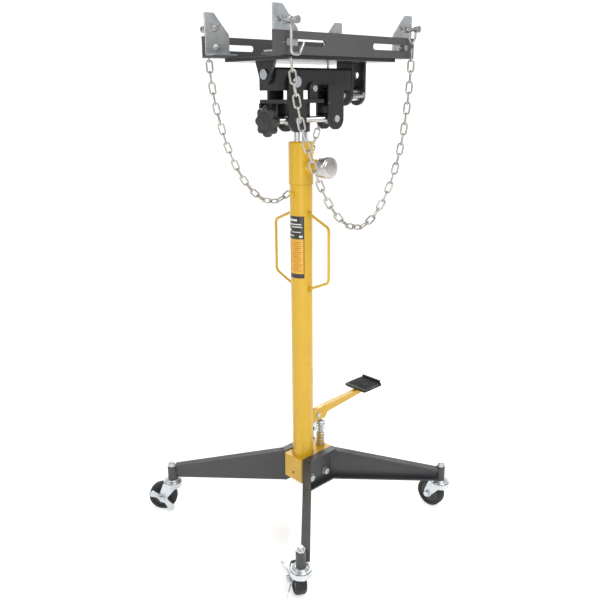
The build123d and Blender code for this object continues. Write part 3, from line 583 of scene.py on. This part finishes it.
def star(name, radius, thick, lobes, place, body, node):
    """A lobed hand knob with a dished dome, drawn with its face towards +Z."""
    sides, boss = lobes * 16, 16
    levels = [(0.44, -boss), (0.44, -1.5), (0.52, -0.2), (0.9, 0), (0.98, 1.2), (1, 3), (1, thick - 4),
              (0.97, thick - 1.4), (0.9, thick - 0.1), (0.72, thick + 0.2), (0.66, thick - 1.2),
              (0.55, thick - 0.8), (0.3, thick + 0.9), (0.03, thick + 1.4)]
    points, faces = lathe([(1, 0)] * len(levels), sides)
    shaped = []
    for i, (x, y, _) in enumerate(points):
        share, z = levels[i // sides]
        wave = cos(lobes * 2 * pi * (i % sides) / sides) + 0.35
        lobed = 0.9 + 0.1 * (abs(wave) ** 0.7 * (1 if wave > 0 else -1)) / 1.23
        r = radius * share * (lobed if share > 0.8 else 1)
        shaped.append((x * r, y * r, z))
    piece = piece_of(name, [moved((shaped, faces), place)], body, ["knob"], 42)
    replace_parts(piece, node)


def spindle(name, radius, pitch, ends, collars, collar_r, place, body, node):
    """A threaded spindle with two turned collars."""
    parts = [moved(thread(radius, pitch, *ends), place)]
    for a, b in collars:
        ring = [(radius - 1, a), (collar_r - 0.6, a), (collar_r, a + 0.6), (collar_r, b - 0.6),
                (collar_r - 0.6, b), (radius - 1, b)]
        parts.append(moved(lathe(ring, 40), place))
    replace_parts(piece_of(name, parts, body, ["turned"], 40), node)


TILT_Y, TILT_Z = -33, 1026
ROLL_X, ROLL_Z = 169.5, 1077
tilt_face = Matrix.Translation((-122, TILT_Y, TILT_Z)) @ Matrix.Rotation(-pi / 2, 4, "Y")
star("tilt_knob_moulded", 33.4, 16, 8, tilt_face, "tilt_spindle", "tilt_knob")
star("roll_knob_moulded", 25.8, 14, 7, along_y(ROLL_X, 70, ROLL_Z), "roll_spindle", "roll_knob")
spindle("tilt_spindle_thread", 7, 3, (-124, 88), ((-74.3, -71.3), (-46.7, -43.7)), 10,
        along_x(0, TILT_Y, TILT_Z), "tilt_spindle", "tilt_screw")
spindle("roll_spindle_thread", 6, 2, (-42, 72), ((36.2, 39.7), (46.3, 49.8)), 9.5,
        along_y(ROLL_X, 0, ROLL_Z), "roll_spindle", "roll_screw")

# ---------------------------------------------------------------- chains
LINK_PITCH, LINK_WIRE_R = 0.0236, 0.0021
CHAINS = {
    "front": [
        (-150, -131, 1150), (-145, -131, 1118), (-138, -132, 1080), (-129, -132, 1040), (-116, -132, 998),
        (-100, -133, 955), (-82, -133, 915), (-59, -133, 872), (-28, -134, 829), (10, -134, 796),
        (54, -134, 782), (96, -134, 794), (132, -135, 826), (162, -135, 868), (184, -135, 915),
        (200, -136, 965), (211, -136, 1015), (219, -136, 1065), (224, -136, 1112), (226, -136, 1150),
        (226.5, -136, 1176),
    ],
    "back": [
        (-152, 136, 1176), (-152, 136, 1150), (-149, 136, 1112), (-142, 136, 1070), (-131, 135, 1025),
        (-117, 135, 980), (-99, 135, 938), (-76, 135, 897), (-46, 134, 858), (-10, 134, 829),
        (30, 134, 817), (70, 134, 826), (106, 133, 852), (136, 133, 888), (160, 133, 928),
        (180, 132, 972), (196, 132, 1017), (208, 132, 1062), (216, 131, 1105), (224, 131, 1150),
    ],
}


def route(points):
    """Points along the NURBS spline whose control points are these, in metres."""
    curve = bpy.data.curves.new("route", "CURVE")
    curve.dimensions = "3D"
    curve.resolution_u = 24
    spline = curve.splines.new("NURBS")
    spline.points.add(len(points) - 1)
    for point, where in zip(spline.points, points):
        point.co = (*(SHIFT @ Vector(where)), 1)
    spline.order_u = 3
    spline.use_endpoint_u = True
    guide = bpy.data.objects.new("route", curve)
    bpy.context.scene.collection.objects.link(guide)
    mesh = bpy.data.meshes.new_from_object(guide)
    line = [v.co.copy() for v in mesh.vertices]
    bpy.data.objects.remove(guide)
    return line


def spread(line, pitch):
    """Evenly spaced (number, point, direction) along a line of points, and the spacing."""
    steps = [(b - a).length for a, b in zip(line, line[1:])]
    total = sum(steps)
    count = int(round(total / pitch))
    found, i, passed = [], 0, 0.0
    for k in range(count):
        want = total * (k + 0.5) / count
        while passed + steps[i] < want:
            passed += steps[i]
            i += 1
        share = (want - passed) / steps[i]
        found.append((k, line[i].lerp(line[i + 1], share), (line[i + 1] - line[i]).normalized()))
    return found, total / count


def link_shape(pitch):
    """One welded link about its middle, lying along X, in metres."""
    half_width = 0.0064
    straight = pitch / 2 + LINK_WIRE_R - half_width
    path = []
    for end in (1, -1):
        for i in range(9):
            a = -pi / 2 + pi * i / 8
            path.append((end * (straight + half_width * cos(a)), end * half_width * sin(a), 0))
    return tube(path, LINK_WIRE_R, 8, True)


def link_basis(along, k):
    """The axes of the k-th link: every other one is turned a quarter, and each hangs a little askew."""
    across = Vector((0, 1, 0))
    across = (across - along * across.dot(along)).normalized()
    across = Matrix.Rotation(radians(38 + 90 * (k % 2) + 5 * sin(k * 2.3)), 3, along) @ across
    return Matrix((along, across, along.cross(across))).transposed()


def half_chain(side, end, spots, link):
    """The links of one half, hung from its bracket, as one piece."""
    points, faces = [], []
    for k, centre, along in spots:
        basis = link_basis(along, k)
        start = len(points)
        points += [centre + basis @ Vector(p) for p in link[0]]
        faces += [[start + i for i in face] for face in link[1]]
    mesh = bpy.data.meshes.new(f"chain_{side}_{end}_links")
    mesh.from_pydata(points, [], faces)
    mesh.materials.append(look["link"])
    piece = finish_piece(mesh, mesh.name, None, 60)
    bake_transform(piece)
    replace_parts(piece, f"chain_{side}")


def chain(side, controls):
    """A chain in two halves, split at the loop's foot."""
    line = route(controls)
    spots, pitch = spread(line, LINK_PITCH)
    link = link_shape(pitch)
    split = min(range(len(spots)), key=lambda k: spots[k][1].z)
    half_chain(side, "left", spots[:split], link)
    half_chain(side, "right", spots[split:], link)


for side, controls in CHAINS.items():
    chain(side, controls)


# ---------------------------------------------------------------- stage
def backdrop():
    """A pale floor that curves up into a wall behind the object."""
    turn = Matrix.Rotation(radians(-43.3), 4, "Z")
    points, faces = [], []
    rows = [(-6, 0), (3.2, 0)]
    rows += [(3.2 + 1.5 * sin(radians(a)), 1.5 - 1.5 * cos(radians(a))) for a in range(10, 91, 10)]
    rows.append((4.7, 7))
    for y, z in rows:
        points += [turn @ Vector((-9, y, z)), turn @ Vector((9, y, z))]
    for i in range(len(rows) - 1):
        faces.append([2 * i, 2 * i + 1, 2 * i + 3, 2 * i + 2])
    mesh = bpy.data.meshes.new("backdrop")
    mesh.from_pydata(points, [], faces)
    n = Nodes("backdrop_paper")
    tone = n.ramp(n.noise(2.5, 3), (0.3, (0.86, 0.86, 0.86)), (0.7, (0.9, 0.9, 0.9)))
    n.join(tone, n.shader.inputs["Base Color"])
    n.shader.inputs["Roughness"].default_value = 0.9
    n.shader.inputs["Emission Color"].default_value = (1, 1, 1, 1)
    n.shader.inputs["Emission Strength"].default_value = 0.42
    mesh.materials.append(n.material)
    mesh.polygons.foreach_set("use_smooth", [True] * len(mesh.polygons))
    sheet = bpy.data.objects.new("backdrop", mesh)
    bpy.context.scene.collection.objects.link(sheet)


def lamp(name, place, size, power):
    """An area lamp, in metres and watts, that faces the middle of the jack."""
    light = bpy.data.lights.new(name, "AREA")
    light.shape = "RECTANGLE"
    light.size, light.size_y = size
    light.energy = power
    item = bpy.data.objects.new(name, light)
    item.location = place
    item.rotation_euler = (Vector((0, 0, 0.7)) - Vector(place)).to_track_quat("-Z", "Y").to_euler()
    bpy.context.scene.collection.objects.link(item)


def studio():
    """White surroundings with four soft lamps."""
    world = bpy.data.worlds.new("studio")
    world.use_nodes = True
    world.node_tree.nodes["Background"].inputs["Color"].default_value = (1, 1, 1, 1)
    world.node_tree.nodes["Background"].inputs["Strength"].default_value = 0.5
    bpy.context.scene.world = world
    lamp("key", (-0.6, -2.6, 2.4), (1.4, 1.4), 46)
    lamp("fill", (-2.6, 0.6, 1.6), (1.2, 1.6), 14)
    lamp("rim", (1.8, 1.6, 2.4), (1.4, 1.4), 34)
    lamp("low", (-1.6, -1.8, 0.5), (1.2, 0.8), 5)
    bpy.context.scene.view_settings.view_transform = "Standard"


def camera():
    """The camera: its place about the column's axis, where it faces, and a slight roll."""
    place, facing, roll = (-1133.4, -1194.5, 1091.0), (0.65669, 0.69611, -0.29016), -0.46
    data = bpy.data.cameras.new("camera")
    data.lens, data.sensor_width = 41.67, 36
    item = bpy.data.objects.new("camera", data)
    item.location = SHIFT @ Vector(place)
    aim = Vector(facing).to_track_quat("-Z", "Y").to_matrix().to_4x4()
    item.rotation_euler = (aim @ Matrix.Rotation(radians(roll), 4, "Z")).to_euler()
    bpy.context.scene.collection.objects.link(item)
    bpy.context.scene.camera = item


backdrop()
studio()
camera()
